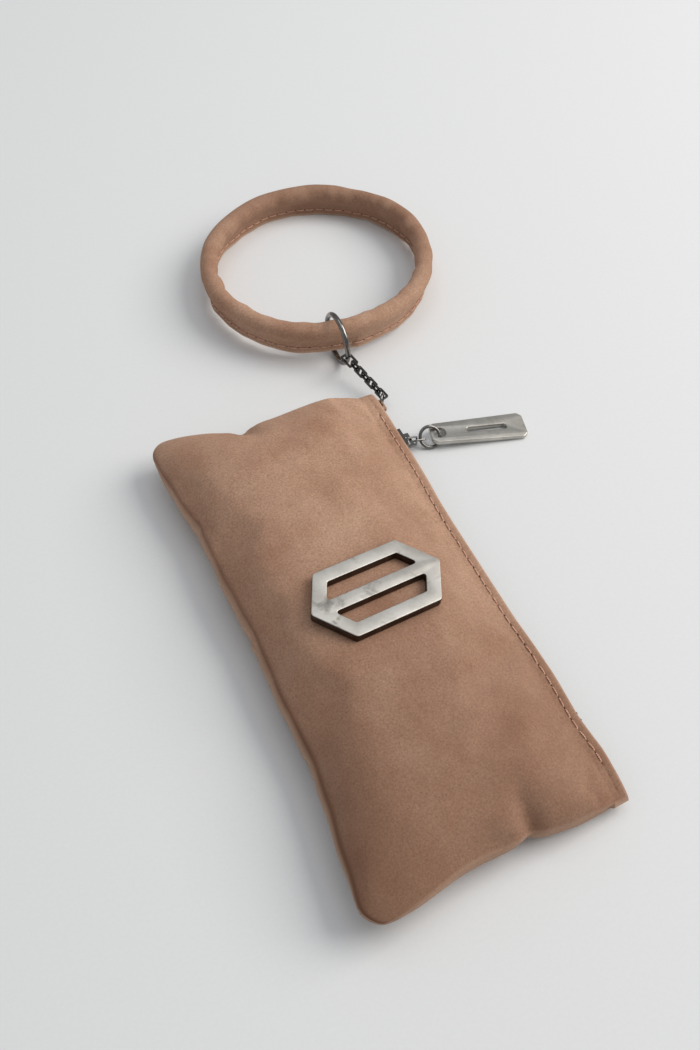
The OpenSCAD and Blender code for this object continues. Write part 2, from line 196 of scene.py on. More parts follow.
suedeLook = dict(
    # deep is the colour of the dark specks and of the painted shade
    light="#bd9981", dark="#a37c65", specksAndPaintedShade="#6f4d3b", rubbed="#cfae97",
    patch=20.0,      # mm, clouds where the nap lies another way
    streak=5.0,      # mm, marks brushed along the nap
    fibre=0.65,      # mm, clumps of fibre; single fibres are 0.02 mm, drawn this coarse so that they show
    speck=1.3,       # mm between the dark specks
    bump=0.16,       # mm
)


def noiseOf(tree, vector, size, detail, rough=0.5, distortion=0.0):
    # cloudy tone, its patches about 'size' mm across
    settings = {"Scale": 1000 / size, "Detail": detail, "Roughness": rough, "Distortion": distortion}
    return addNode(tree, "TexNoise", settings, {"Vector": vector}).outputs["Fac"]


def rampOf(tree, factor, *stops):
    ramp = addNode(tree, "ValToRGB", None, {"Fac": factor})
    return setRamp(ramp, [(at, linearColour(colour)) for at, colour in stops])


def remapOf(tree, value, fromMin, fromMax, toMin, toMax):
    settings = {"From Min": fromMin, "From Max": fromMax, "To Min": toMin, "To Max": toMax}
    return addNode(tree, "MapRange", settings, {"Value": value}).outputs[0]


def mixOf(tree, factor, base, colour):
    settings = {"data_type": "RGBA", "B": linearColour(colour)}
    return addNode(tree, "Mix", settings, {"Factor": factor, "A": base}).outputs[2]


def finishWith(tree, shader, colour, height, strength=0.5, distance=0.1):
    # colour and relief into the shader, distance in mm
    tree.links.new(colour, shader.inputs["Base Color"])
    if height is not None:
        settings = {"Strength": strength, "Distance": distance / 1000}
        bump = addNode(tree, "Bump", settings, {"Height": height})
        tree.links.new(bump.outputs[0], shader.inputs["Normal"])


def brushedSuede(name, look):
    # brushed microfibre suede: no shine, soft clouds, a grain of short fibres, a pale bloom on its rims, and
    # painted shade from a point attribute
    material, tree, shader, place = newMaterial(name, {
        "Roughness": 0.95, "IOR": 1.45, "Specular IOR Level": 0.25,
        "Sheen Weight": 0.14, "Sheen Roughness": 0.45, "Sheen Tint": linearColour("#f0d2bd")})
    along = {"Rotation": (0, 0, 0.5), "Scale": (1.0, 0.45, 1.0)}
    turned = addNode(tree, "Mapping", along, {"Vector": place}).outputs[0]
    patch = noiseOf(tree, place, look["patch"], 3.0)
    streak = noiseOf(tree, turned, look["streak"], 4.0, 0.6)
    fibre = noiseOf(tree, place, look["fibre"], 3.0, 0.75)
    spots = {"Scale": 1000 / look["speck"], "Randomness": 1.0}
    speck = addNode(tree, "TexVoronoi", spots, {"Vector": place}).outputs["Distance"]
    # which way the nap lies: clouds and streaks together
    weigh = {"operation": "MULTIPLY_ADD", 1: 0.35}
    clouds = addNode(tree, "Math", weigh, {0: streak, 2: patch}).outputs[0]
    base = rampOf(tree, clouds, (0.42, look["dark"]), (0.92, look["light"]))
    # fibres darken and lighten it a little
    grain = remapOf(tree, fibre, 0.3, 0.7, 0.73, 1.24)
    scaled = addNode(tree, "VectorMath", {"operation": "SCALE"}, {0: base, "Scale": grain})
    colour = mixOf(tree, remapOf(tree, speck, 0.08, 0.22, 0.35, 0.0), scaled.outputs[0], look["specksAndPaintedShade"])
    # painted shade: where less light falls (lower left of the pouch, the crevice by its seam, the strap's
    # far side) it goes deep, and folds and seams are rubbed paler
    for attribute, shade in (("painted_shade", "specksAndPaintedShade"), ("rub", "rubbed")):
        share = addNode(tree, "Attribute", {"attribute_name": attribute}).outputs["Fac"]
        colour = mixOf(tree, share, colour, look[shade])
    relief = {"operation": "MULTIPLY_ADD", 1: 0.6}
    height = addNode(tree, "Math", relief, {0: streak, 2: fibre}).outputs[0]
    finishWith(tree, shader, colour, height, 0.55, look["bump"])
    return material


def cloudyTone(name, sockets, noise, dark, pale, relief=(None,)):
    # one soft cloudy tone between two colours, with or without relief from the same clouds
    material, tree, shader, place = newMaterial(name, sockets)
    tone = noiseOf(tree, place, *noise)
    height = None if relief[0] is None else tone
    finishWith(tree, shader, rampOf(tree, tone, dark, pale), height, *relief)
    return material


def metalPlate(name, pale, dull, patina, roughness, cloud, stain, scratch):
    # cloud mm of tone, stain share of dark patina, scratch mm between the fine marks of the tumbling drum
    material, tree, shader, place = newMaterial(name, {"Metallic": 1.0})
    base = rampOf(tree, noiseOf(tree, place, cloud, 5.0, 0.6), (0.3, dull), (0.6, pale))
    spot = noiseOf(tree, place, cloud * 0.8, 6.0, 0.65, 0.6)
    stained = mixOf(tree, remapOf(tree, spot, 0.56, 0.72, 0.0, stain), base, patina)
    fine = noiseOf(tree, place, scratch, 3.0, 0.7)
    tree.links.new(remapOf(tree, fine, 0.3, 0.7, *roughness), shader.inputs["Roughness"])
    finishWith(tree, shader, stained, fine, 0.12, 0.05)
    return material


def wovenCloth(name, warp, weft, pitch):
    # two crossing sets of yarns, pitch mm apart: a dull fine check
    material, tree, shader, place = newMaterial(name, {
        "Roughness": 0.85, "Specular IOR Level": 0.3, "Sheen Weight": 0.15})
    yarns = []
    for direction in ("X", "Y"):
        bands = {"bands_direction": direction, "Scale": 1000 / pitch / 20 * math.pi, "Distortion": 0.3}
        yarns.append(addNode(tree, "TexWave", bands, {"Vector": place}).outputs["Fac"])
    yarn = addNode(tree, "Math", {"operation": "MULTIPLY"}, {0: yarns[0], 1: yarns[1]}).outputs[0]
    finishWith(tree, shader, rampOf(tree, yarn, (0.1, warp), (0.8, weft)), yarn, 0.5, 0.15)
    return material


suede = brushedSuede("suedeBrushed", suedeLook)
# the raw cut edge of the suede: cream core fibres, matt and slightly ragged
cutEdge = cloudyTone("suedeCutEdge", {"Roughness": 0.95, "Specular IOR Level": 0.2, "Sheen Weight": 0.2},
                     (0.7, 4.0, 0.7), (0.3, "#b98f76"), (0.7, "#e2c7b2"), (0.6, 0.15))
# polyester thread, two plies twisted: a little lustre, paler and pinker than the suede
thread = cloudyTone("threadPolyester", {
    "Roughness": 0.5, "IOR": 1.5, "Specular IOR Level": 0.4, "Sheen Weight": 0.15},
    (0.5, 2.0), (0.35, "#c6947a"), (0.65, "#e9bfa8"))
# the inside of a needle hole, fibres pushed down: painted shade, near-black dots for the shade in the hole,
# which set off the thread
needleHoleShade = cloudyTone("needleHolePaintedShade", {"Roughness": 1.0, "Specular IOR Level": 0.0},
                  (0.4, 2.0), (0.3, "#2c1a12"), (0.7, "#4a2f22"))
# nickel over cast zinc, tumbled and lacquered: pale, satin and cloudy, dark patina left in patches
nickel = metalPlate("nickelTumbled", "#d0cdc7", "#b7b3ac", "#57514a", (0.42, 0.56), 9.0, 0.70, 0.6)
# the cast side walls, where the dark patina isn't polished off
nickelWall = metalPlate("nickelPatinaWall", "#5a4c44", "#3a2f2a", "#1d1714", (0.38, 0.55), 4.0, 0.6, 0.5)
# stamped steel pull, nickel plated and satin brushed
nickelSatin = metalPlate("nickelSatinSteel", "#c6c3bc", "#aeaba4", "#605b53", (0.30, 0.42), 7.0, 0.35, 0.4)
# black nickel on steel wire: dark and mirror-like, so that it shows the room in hard streaks
gunmetal = metalPlate("gunmetalPlated", "#8b8986", "#676562", "#302f2d", (0.08, 0.16), 5.0, 0.4, 0.4)
gunmetalDark = metalPlate("gunmetalBlackened", "#454340", "#2f2d2b", "#141312", (0.18, 0.30), 2.5, 0.5, 0.3)
zipTape = wovenCloth("zipTapeWoven", "#1d1a18", "#3b3531", 0.5)
liningCloth = wovenCloth("liningTwill", "#4d3f37", "#6a594e", 0.6)
# needled polyester wadding: fluffy, matt, off-white
wadding = cloudyTone("interliningFelt", {"Roughness": 1.0, "Specular IOR Level": 0.1, "Sheen Weight": 0.3},
                     (1.5, 5.0, 0.7), (0.3, "#cfcabf"), (0.7, "#ece9e2"), (0.7, 0.3))
cordCotton = wovenCloth("cordBraidedCotton", "#d8d0c0", "#f0eadc", 0.9)
print("materials made:", len(bpy.data.materials))


# camera, floor and light

cameraLook = dict(place=(-0.12521, -0.24549, 0.32345), heading=25.44, down=52.09, roll=0.98, lens=41.83)
cameraData = bpy.data.cameras.new("camera")
cameraData.lens = cameraLook["lens"]
cameraData.sensor_width = 36
cameraData.clip_start = 0.01
camera = bpy.data.objects.new("camera", cameraData)
cameraTurn = turnAbout("Z", -cameraLook["heading"]) @ turnAbout("X", 90 - cameraLook["down"])
cameraTurn = (cameraTurn @ turnAbout("Z", cameraLook["roll"])).to_4x4()
camera.matrix_world = Matrix.Translation(cameraLook["place"]) @ cameraTurn
scene.collection.objects.link(camera)
scene.camera = camera

studio = dict(floorColour="#e6e8e9", floorSize=3.0, skyColour="#edeff1", skyStrength=0.42)
# matt white table board, with a trace of tooth
paper = cloudyTone("paperBoard", {"Roughness": 0.8, "Specular IOR Level": 0.25},
                   (1000 / 900, 2.0), (0.2, studio["floorColour"]), (0.8, "#e9ebec"))
s = studio["floorSize"] / 2
floorMesh = bpy.data.meshes.new("floor")
floorMesh.from_pydata([(-s, -s, 0), (s, -s, 0), (s, s, 0), (-s, s, 0)], [], [(0, 1, 2, 3)])
floorMesh.materials.append(paper)
floor = bpy.data.objects.new("floor", floorMesh)
scene.collection.objects.link(floor)

world = bpy.data.worlds.new("studio")
scene.world = world
world.use_nodes = True
sky = world.node_tree.nodes["Background"].inputs
sky["Color"].default_value = linearColour(studio["skyColour"])
sky["Strength"].default_value = studio["skyStrength"]

lamps = [
    # name, place, aim, width, height, watts, colour
    ("windowKey", (1.12, -0.22, 1.00), (0.0, -0.02, 0.0), 1.1, 1.1, 17.5, "#fffaf4"),
    ("topFill", (0.10, 0.35, 1.50), (0.0, 0.0, 0.0), 1.2, 1.2, 4.0, "#f8faff"),
]
for name, place, aim, width, height, watts, colour in lamps:
    lampData = bpy.data.lights.new(name, "AREA")
    lampData.shape = "RECTANGLE"
    lampData.size, lampData.size_y = width, height
    lampData.energy = watts
    lampData.color = linearColour(colour)[:3]
    lamp = bpy.data.objects.new(name, lampData)
    lamp.location = place
    lamp.rotation_euler = (Vector(aim) - Vector(place)).to_track_quat("-Z", "Y").to_euler()
    scene.collection.objects.link(lamp)
scene.view_settings.view_transform = "Standard"
scene.view_settings.look = "None"
print("studio ready")


# pouch: outline and height from the frame's box, then creases, then a cloth pass that lets the suede settle

frontLow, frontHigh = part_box("front_panel")
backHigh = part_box("back_panel")[1]
pouchAt = Vector(((frontLow.x + frontHigh.x) / 2, (frontLow.y + frontHigh.y) / 2, 0))

pouchCut = dict(
    halfWidth=(frontHigh.x - frontLow.x) * 500, halfLength=(frontHigh.y - frontLow.y) * 500,
    seamHigh=backHigh.z * 1000, zipHigh=frontLow.z * 1000,
    rise=14.0, corner=8.0, edgeFlat=5.0, edgeLift=0.7, fullAt=34.0, endMiddle=42.0, endZip=10.0,
    fallFrom=4.0, fallPower=2.2,     # how the front comes down towards the zip edge
    tuck=1.6, tuckHigh=2.2,          # how far the seam lies behind the swell of the panels
    drawnIn=0.7,                     # the seamed edge pulls in along its middle
    ripples=((0.22, 0.16, 1.0), (0.12, 0.41, 0.0)),     # size, waves, start
    edgeDrawnAt=40.7,                # half width that the stops of zipEdge were drawn for
    endsFrom=46.0,                   # the uneven ends reach in to here
    thinnest=0.03,
    stitchIn=2.8, stitchPitch=4.0, pitDeep=0.32, pitAcross=0.42, pitAlong=0.55,
    cols=84, rows=216, simCols=34, simRows=74,
)
# how far each end stands out from the straight cut, along the width
frontTopEnd = [(-41, 0.6), (-35, 1.6), (-28, 1.0), (-20, -0.4), (-13, -1.8), (-9, -3.2), (-5, -1.8),
               (3, -0.9), (18, -0.2), (30, -0.6), (41, -0.8)]
backTopEnd = [(-41, 0.4), (-35, 0.9), (-20, -0.4), (-9, -1.4), (3, -1.0), (18, -0.4), (41, -0.8)]
frontBottomEnd = [(-41, 0.2), (-34, 0.4), (-25, -0.2), (-14, -1.5), (-4, -1.7), (4, -1.4), (8.5, -3.1),
                  (12, -1.3), (20, -0.7), (30, -1.5), (41, -2.4)]
backBottomEnd = [(-41, 0.6), (-34, 0.9), (-25, 0.5), (-14, -0.5), (-4, -0.9), (4, -1.6), (8.5, -2.6),
                 (14, -1.4), (24, -1.0), (41, -2.4)]
# the zip edge: place along it and distance from the pouch's middle line, mm
zipEdge = [(-88, 40.1), (-80, 40.4), (-72, 40.9), (-65, 40.3), (-58, 39.9), (-51, 40.3), (-43, 40.7),
           (-29, 40.4), (-20, 39.9), (23, 39.9), (32, 40.1), (41, 40.7), (52, 41.0), (88, 41.3)]
# the two filled corners push out: which end, shift across and along
cornerPush = [(1, -2.2, 2.4), (-1, -4.0, -3.6)]
# creases in the front: from, to, width, depth, all mm; a negative depth is a ridge
frontCreases = [
    ((-9.5, 86), (-7, 66), 3.4, 1.5), ((-9.5, 86), (-19, 70), 4.2, 1.1), ((-14, 84), (-33, 62), 7.0, 0.9),
    ((-3, 86), (4, 72), 4.0, -0.4), ((8.5, -86), (6.5, -70), 2.8, 1.6), ((8.5, -86), (17, -74), 3.4, 0.7),
    ((2, -85), (-4, -70), 4.5, -0.5), ((14, -84), (19, -66), 5.0, -0.4), ((-39, 62), (-30, 52), 5.0, 0.5),
    ((30, -84), (26, -70), 3.5, 0.4), ((-36, -80), (-28, -66), 5.0, -0.4), ((28, 84), (24, 70), 4.0, 0.35),
    ((-38, 4), (-27, -6), 7.0, 0.35), ((31, -30), (20, -44), 8.0, 0.4), ((32, -66), (22, -56), 5.0, 0.5),
]
backCreases = [
    ((-10, 86), (-8, 70), 4.0, 0.8), ((6, -86), (4, -72), 4.0, 0.8),
    ((-39, 30), (-30, 24), 5.0, 0.4), ((-39, -40), (-30, -46), 5.0, 0.4),
]


def leftOutline(y):
    cut = pouchCut
    over = np.maximum(0, np.abs(y) - (cut["halfLength"] - cut["corner"]))
    rounding = cut["corner"] - np.sqrt(np.maximum(0, cut["corner"] ** 2 - over ** 2))
    drawnIn = cut["drawnIn"] * (1 - clamp01(np.abs(y) / 80) ** 2)
    ripple = sum(size * np.sin(y * wave + start) for size, wave, start in cut["ripples"])
    return -cut["halfWidth"] + rounding + drawnIn + ripple


def rightOutline(y):
    # the zip edge waves a little and pulls in along its middle
    return softCurve(zipEdge, y, 3.0) + pouchCut["halfWidth"] - pouchCut["edgeDrawnAt"]


def pouchShape(colShare, y, foldX, foldHigh, front):
    # colShare 0..1 from the seam to the strip; where foldX isn't 0 the suede turns over the zip edge
    cut = pouchCut
    left, right = leftOutline(y), rightOutline(y)
    flatAt = right - cut["edgeFlat"]
    x = left + (flatAt - left) * colShare + foldX * (colShare >= 1)
    acrossShare = clamp01((x + cut["halfWidth"]) / (2 * cut["halfWidth"] - cut["edgeFlat"]))
    seam = cut["seamHigh"] + (cut["zipHigh"] - cut["seamHigh"]) * acrossShare
    seam = seam + 0.35 * np.sin(y * 0.055 + 0.6) * clamp01((10 - x) / 40)
    edgeHalf = cut["zipHigh"] - cut["edgeLift"]
    flatFrom = cut["halfWidth"] - cut["edgeFlat"]
    nearZip = smoothStep((x + 4) / (cut["halfWidth"] - 4))
    endFull = cut["endMiddle"] + (cut["endZip"] - cut["endMiddle"]) * nearZip
    sideRise = roundRise((x - left) / cut["fullAt"])
    endRise = roundRise((cut["halfLength"] - np.abs(y)) / endFull)
    full = sideRise * endRise
    if front:
        fall = clamp01((x - cut["fallFrom"]) / (flatFrom - cut["fallFrom"])) ** cut["fallPower"]
        height = cut["rise"] + (edgeHalf - cut["rise"]) * fall
        z = seam + height * full * foldHigh
        topEnd, bottomEnd, creases = frontTopEnd, frontBottomEnd, frontCreases
    else:
        height = seam - cut["edgeLift"] * smoothStep((x - 20) / (flatFrom - 20))
        z = seam - height * full * foldHigh
        topEnd, bottomEnd, creases = backTopEnd, backBottomEnd, backCreases
    # the ends follow their own line, and the rows inside follow it less and less;
    # both halves share one line at the seam, and keep to their own where they swell
    own = np.where(y > 0, softCurve(topEnd, x, 1.6), softCurve(bottomEnd, x, 1.6))
    shared = np.where(y > 0, softCurve(frontTopEnd, x, 1.6) + softCurve(backTopEnd, x, 1.6),
                      softCurve(frontBottomEnd, x, 1.6) + softCurve(backBottomEnd, x, 1.6)) / 2
    stretch = shared + (own - shared) * smoothStep(full * 2.2)
    endShare = smoothStep((np.abs(y) - cut["endsFrom"]) / (cut["halfLength"] - cut["endsFrom"]))
    yOut = y + np.sign(y) * stretch * endShare
    # creases
    sign = 1 if front else -1
    for start, stop, width, depth in creases:
        a, b = np.array(start, float), np.array(stop, float)
        along = ((x - a[0]) * (b[0] - a[0]) + (yOut - a[1]) * (b[1] - a[1])) / ((b - a) @ (b - a))
        t = clamp01(along)
        off = np.hypot(x - a[0] - t * (b[0] - a[0]), yOut - a[1] - t * (b[1] - a[1]))
        fade = (1 - smoothStep(along)) * np.exp(-(off / (width * (0.6 + 0.7 * t))) ** 2)
        z = z - sign * depth * fade * clamp01(full * 2.5)
    # the seam is drawn in behind the swell
    lift = np.abs(z - seam)
    pulled = cut["tuck"] * (1 - clamp01(lift / cut["tuckHigh"])) ** 2 * (colShare < 1)
    sideways, endways = (1 - sideRise) ** 2 + 1e-6, (1 - endRise) ** 2
    length = np.hypot(sideways, endways)
    x = x + pulled * sideways / length
    yOut = yOut - np.sign(y) * pulled * endways / length
    for end, across, along in cornerPush:
        weight = smoothStep((-x - 6) / 30) * smoothStep((end * yOut - 44) / 38)
        x, yOut = x + across * weight, yOut + along * weight
    return np.stack([x, yOut, np.maximum(z, cut["thinnest"])], -1), full


def pouchRows(count):
    t = np.linspace(0, 1, count)
    even, eased = 2 * t - 1, -np.cos(math.pi * t)
    return (0.5 * even + 0.5 * eased) * pouchCut["halfLength"]


def pouchCols(count):
    t = np.linspace(0, 1, count)
    return 0.35 * t + 0.65 * (1 - np.cos(math.pi * t)) / 2


# the strip along the zip: distance past the flat's start and share of the edge's half thickness
stitchAt = pouchCut["edgeFlat"] - pouchCut["stitchIn"]
foldLine = [(0.5, 1), (stitchAt - 0.45, 1), (stitchAt - 0.2, 0.985), (stitchAt, 0.97),
            (stitchAt + 0.2, 0.985), (stitchAt + 0.45, 1), (3.1, 1.01), (3.6, 1.01), (4.05, 1.0),
            (4.45, 0.965), (4.8, 0.89), (4.98, 0.79), (4.95, 0.70), (4.7, 0.655), (4.2, 0.635),
            (3.0, 0.63), (1.6, 0.63)]


def pouchGrid(front, cols, rows, withFold):
    share, y = pouchCols(cols), pouchRows(rows)
    fold = foldLine if withFold else [(2.0, 1), (4.4, 0.95)]
    shareAll = np.concatenate([share, np.ones(len(fold))])
    foldX = np.concatenate([np.zeros(cols), [f[0] for f in fold]])
    foldHigh = np.concatenate([np.ones(cols), [f[1] for f in fold]])
    S, Y = np.meshgrid(shareAll, y)
    return pouchShape(S, Y, np.broadcast_to(foldX, S.shape), np.broadcast_to(foldHigh, S.shape), front)


clothPass = dict(
    scale=5.0,       # the solver works on a bag this many times larger
    frames=18, seamHold=0.75,
    cap=1.5,         # mm, the most that a point may move
    solver=dict(quality=6, mass=0.3, tension_stiffness=18.0, compression_stiffness=18.0, shear_stiffness=8.0,
                bending_stiffness=6.0, use_pressure=True, uniform_pressure_force=1.6, shrink_min=-0.012),
)


def settleSuede():
    # both panels as one closed bag, a little too large, blown up softly with the zip edge held
    cols, rows = pouchCut["simCols"], pouchCut["simRows"]
    top, bottom = (pouchGrid(front, cols, rows, False)[0] for front in (True, False))
    wide = top.shape[1]
    seamMask = np.zeros((rows, wide), bool)
    seamMask[:, 0] = seamMask[0] = seamMask[-1] = True
    middle = (top + bottom) / 2
    start = [np.where(seamMask[..., None], middle, g) for g in (top, bottom)]
    upper = np.arange(rows * wide).reshape(rows, wide)
    lower = np.where(seamMask, upper, upper + rows * wide)
    index = [upper, lower]
    faces = upper.ravel()[gridFaces(rows, wide)].tolist()
    faces += lower.ravel()[gridFaces(rows, wide, flip=True)].tolist()
    up, down = upper[:, -1].tolist(), lower[:, -1].tolist()
    faces += [[up[j], down[j], down[j + 1], up[j + 1]] for j in range(rows - 1)]
    mesh = bpy.data.meshes.new("settling")
    points = np.concatenate([g.reshape(-1, 3) for g in start]) * clothPass["scale"] / 1000
    mesh.from_pydata(points.tolist(), [], faces)
    bag = bpy.data.objects.new("settling", mesh)
    scene.collection.objects.link(bag)
    held = bag.vertex_groups.new(name="held")
    hold = np.zeros((rows, wide))
    hold[:, -3:] = 1.0
    hold[:, -5:-3] = 0.5
    hold[seamMask] = np.maximum(hold[seamMask], clothPass["seamHold"])
    for which in (0, 1):
        for k, w in zip(index[which].ravel().tolist(), hold.ravel().tolist()):
            if w > 0:
                held.add([k], w, "REPLACE")
    cloth = bag.modifiers.new("Cloth", "CLOTH")
    for key, value in clothPass["solver"].items():
        setattr(cloth.settings, key, value)
    cloth.settings.vertex_group_mass = "held"
    cloth.settings.effector_weights.gravity = 0
    cloth.collision_settings.use_collision = False
    cloth.point_cache.frame_start, cloth.point_cache.frame_end = 1, clothPass["frames"]
    for f in range(1, clothPass["frames"] + 1):
        scene.frame_set(f)
    evaluated = bag.evaluated_get(bpy.context.evaluated_depsgraph_get())
    settled = np.zeros(len(evaluated.data.vertices) * 3, np.float32)
    evaluated.data.vertices.foreach_get("co", settled)
    settled = settled.reshape(-1, 3) * 1000 / clothPass["scale"]
    scene.frame_set(1)
    bpy.data.objects.remove(bag)
    moves = []
    for which in (0, 1):
        move = settled[index[which]] - start[which]
        size = np.linalg.norm(move, axis=-1, keepdims=True)
        moves.append(move * np.minimum(1, clothPass["cap"] / np.maximum(size, 1e-9)))
    return moves


def spread(count, target):
    # Catmull-Rom weights that carry 'count' values to 'target' places between them
    at = np.interp(target[0], target[1], np.arange(count))
    weights = np.zeros((len(at), count))
    k = np.clip(at.astype(int), 0, count - 2)
    t = at - k
    for offset, w in ((-1, -0.5 * t + t ** 2 - 0.5 * t ** 3), (0, 1 - 2.5 * t ** 2 + 1.5 * t ** 3),
                      (1, 0.5 * t + 2 * t ** 2 - 1.5 * t ** 3), (2, -0.5 * t ** 2 + 0.5 * t ** 3)):
        np.add.at(weights, (np.arange(len(at)), np.clip(k + offset, 0, count - 1)), w)
    return weights


plaqueLook = dict(
    turn=7.0, tilt=6.1, long=46.0, wide=26.0, rim=4.6, point=26 / 3.2, thick=3.0, bevel=0.28,
    sink=0.12, pressLong=27.0, pressWide=17.0, pressFade=5.0, soft=0.08,     # how the suede lies under it
)
plaqueTurn = turnAbout("Z", plaqueLook["turn"]) @ turnAbout("Y", plaqueLook["tilt"])


def underPlaque(points):
    # the soft front lies flat against the plaque's back
    look = plaqueLook
    turn = np.array(plaqueTurn)
    middle = np.array(boxMiddle("plaque") - pouchAt) * 1000
    local = (points - middle) @ turn
    limit = -look["thick"] / 2 - look["sink"]
    inLength = smoothStep((look["pressLong"] - np.abs(local[..., 0])) / look["pressFade"])
    inWidth = smoothStep((look["pressWide"] - np.abs(local[..., 1])) / look["pressFade"])
    # how far a point stands through the back, softened
    over = local[..., 2] - limit
    press = 0.5 * (over + np.sqrt(over ** 2 + look["soft"])) * (inLength * inWidth)
    return points - press[..., None] * turn[:, 2]


moves = settleSuede()
print("suede settled" if moves[0] is not None else "suede pass skipped")


def stitchRows():
    span = 2 * pouchCut["halfLength"] - 2 * (pouchCut["endZip"] + 2)
    count = int(span // pouchCut["stitchPitch"])
    return (np.arange(count) - (count - 1) / 2) * pouchCut["stitchPitch"]


def pouchPlace(points):
    return points / 1000 + np.array(pouchAt)


panelData = {}
for front in (True, False):
    cols, rows = pouchCut["cols"], pouchCut["rows"]
    points, fullness = pouchGrid(front, cols, rows, True)
    wide = points.shape[1]
    move = moves[0 if front else 1]
    if move is not None:
        across = spread(pouchCut["simCols"], (pouchCols(cols), pouchCols(pouchCut["simCols"])))
        along = spread(pouchCut["simRows"], (pouchRows(rows), pouchRows(pouchCut["simRows"])))
        fine = np.einsum("rj,jck,ic->rik", along, move[:, :pouchCut["simCols"]], across)
        points[:, :cols] += fine
    # needle dimples along the strip, halfway between the stitches
    pitch = pouchCut["stitchPitch"]
    fromStitch = np.abs((points[..., 1] - stitchRows()[0] + pitch / 2) / pitch % 1 - 0.5) * pitch
    fromLine = points[..., 0] - points[:, cols + 3, 0][:, None]
    pits = pouchCut["pitDeep"] * np.exp(-(fromLine / pouchCut["pitAcross"]) ** 2)
    pits *= np.exp(-((pitch / 2 - fromStitch) / pouchCut["pitAlong"]) ** 2)
    pits[:, cols + 11:] = 0
    points[..., 2] += (-1 if front else 1) * pits * clamp01(fullness * 2)
    if front:
        points = underPlaque(points)
    else:
        points[..., 2] = np.maximum(points[..., 2], pouchCut["thinnest"])
    panelData[front] = points
    # pale where the panel is rubbed: at the seam and over the fold
    atSeam = 1 - clamp01(np.arange(wide) / 3.0)
    atEnd = 1 - clamp01(np.minimum(np.arange(rows), np.arange(rows)[::-1]) / 3.0)
    rub = np.maximum(0.75 * atSeam[None, :], 0.6 * atEnd[:, None])
    rub[:, cols + 9:cols + 13] = np.maximum(rub[:, cols + 9:cols + 13], 0.25)
    name = "frontPanelSuede" if front else "backPanelSuede"
    panelFaces = gridFaces(rows, wide, flip=not front)
    panel = makeMesh(name, pouchPlace(points), panelFaces, [suede], "pouch")
    setAttribute(panel, "rub", rub)
    # painted shade: darker and darker away from the strap and the zip, towards the bottom and the left, and
    # in the crevice beside the seam
    seamCreviceShade = np.maximum(1 - np.abs(np.arange(wide) - 3) / 2.5, 0)[None, :] * np.ones((rows, 1))
    shadeToLowerLeft = 0.48 * smoothStep((45 - points[..., 1]) / 130) + 0.17 * smoothStep((-points[..., 0] - 15) / 20)
    setAttribute(panel, "painted_shade", np.minimum(shadeToLowerLeft + 0.5 * seamCreviceShade, 0.95))
    panelData[name] = panel
    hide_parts("front_panel" if front else "back_panel")
print("pouch panels made")


def innerLayer(name, node, front, depthOut, depthIn, material):
    # wadding and lining follow the panel from inside and stop short of the zip
    step = 4
    grid = panelData[front][step:-step:step, 2:pouchCut["cols"] - 8:step]
    acrossGrid, alongGrid = np.gradient(grid, axis=1), np.gradient(grid, axis=0)
    normal = np.cross(acrossGrid, alongGrid)
    normal /= np.maximum(np.linalg.norm(normal, axis=-1, keepdims=True), 1e-9)
    if not front:
        normal = -normal
    seam = (panelData[True][step:-step:step, :1, 2] + panelData[True][step:-step:step, -1:, 2]) / 2
    roomy = np.abs(grid[..., 2] - seam)
    shells = [grid - normal * np.minimum(depth, 0.8 * roomy)[..., None] for depth in (depthOut, depthIn)]
    rows, cols = grid.shape[:2]
    points = np.concatenate([g.reshape(-1, 3) for g in shells])
    count = rows * cols
    faces = gridFaces(rows, cols, flip=not front)
    faces += [[count + k for k in face[::-1]] for face in faces]
    order = np.arange(count).reshape(rows, cols)
    rim = np.concatenate([order[:, 0], order[-1, 1:], order[-2::-1, -1], order[0, -2:0:-1]]).tolist()
    for a, b in zip(rim, rim[1:] + rim[:1]):
        quad = [a, a + count, b + count, b]
        faces.append(quad[::-1] if front else quad)
    layer = makeMesh(name, pouchPlace(points), faces, [material], "pouch")
    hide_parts(node)
    return layer


for front, word in ((True, "front"), (False, "back")):
    pad = innerLayer(word + "Interlining", word + "_interlining", front, 1.5, 3.0, wadding)
    innerLayer(word + "Lining", word + "_lining", front, 3.3, 3.7, liningCloth)
print("interlining and lining made")


# stitching: two plies twisted, each stitch dipping into its needle holes

stitchLook = dict(
    long=3.3, ply=0.16, apart=0.12, twists=2.5, rise=0.26, sink=0.02, holeLong=0.62, holeWide=0.46,
    lean=0.05,                       # radians, how unevenly the stitches stand
    bed=0.1, holeLift=0.1,           # how deep a stitch beds in, how high a hole's rim stands
    strapBed=0.06,
)


def stitchTemplate():
    look = stitchLook
    rings, sides = 13, 6
    points, faces = [], []
    for ply in (0, 1):
        base = len(points)
        for j in range(rings):
            t = j / (rings - 1) * 2 - 1
            turn = look["twists"] * math.pi * t + ply * math.pi
            height = look["rise"] * (1 - abs(t) ** 3) - look["sink"] - 0.35 * max(0, abs(t) - 0.8) / 0.2
            aside, over = look["apart"] * math.cos(turn), look["apart"] * math.sin(turn)
            centre = np.array([aside, t * look["long"] / 2, height + over])
            for i in range(sides):
                a = 2 * math.pi * i / sides
                points.append(centre + look["ply"] * np.array([math.cos(a), 0, math.sin(a)]))
        faces += [[base + k for k in face] for face in gridFaces(rings, sides, wrapCols=True, flip=True)]
        last = base + (rings - 1) * sides
        faces += [list(range(base, base + sides)), list(range(last, last + sides))[::-1]]
    return np.array(points), faces


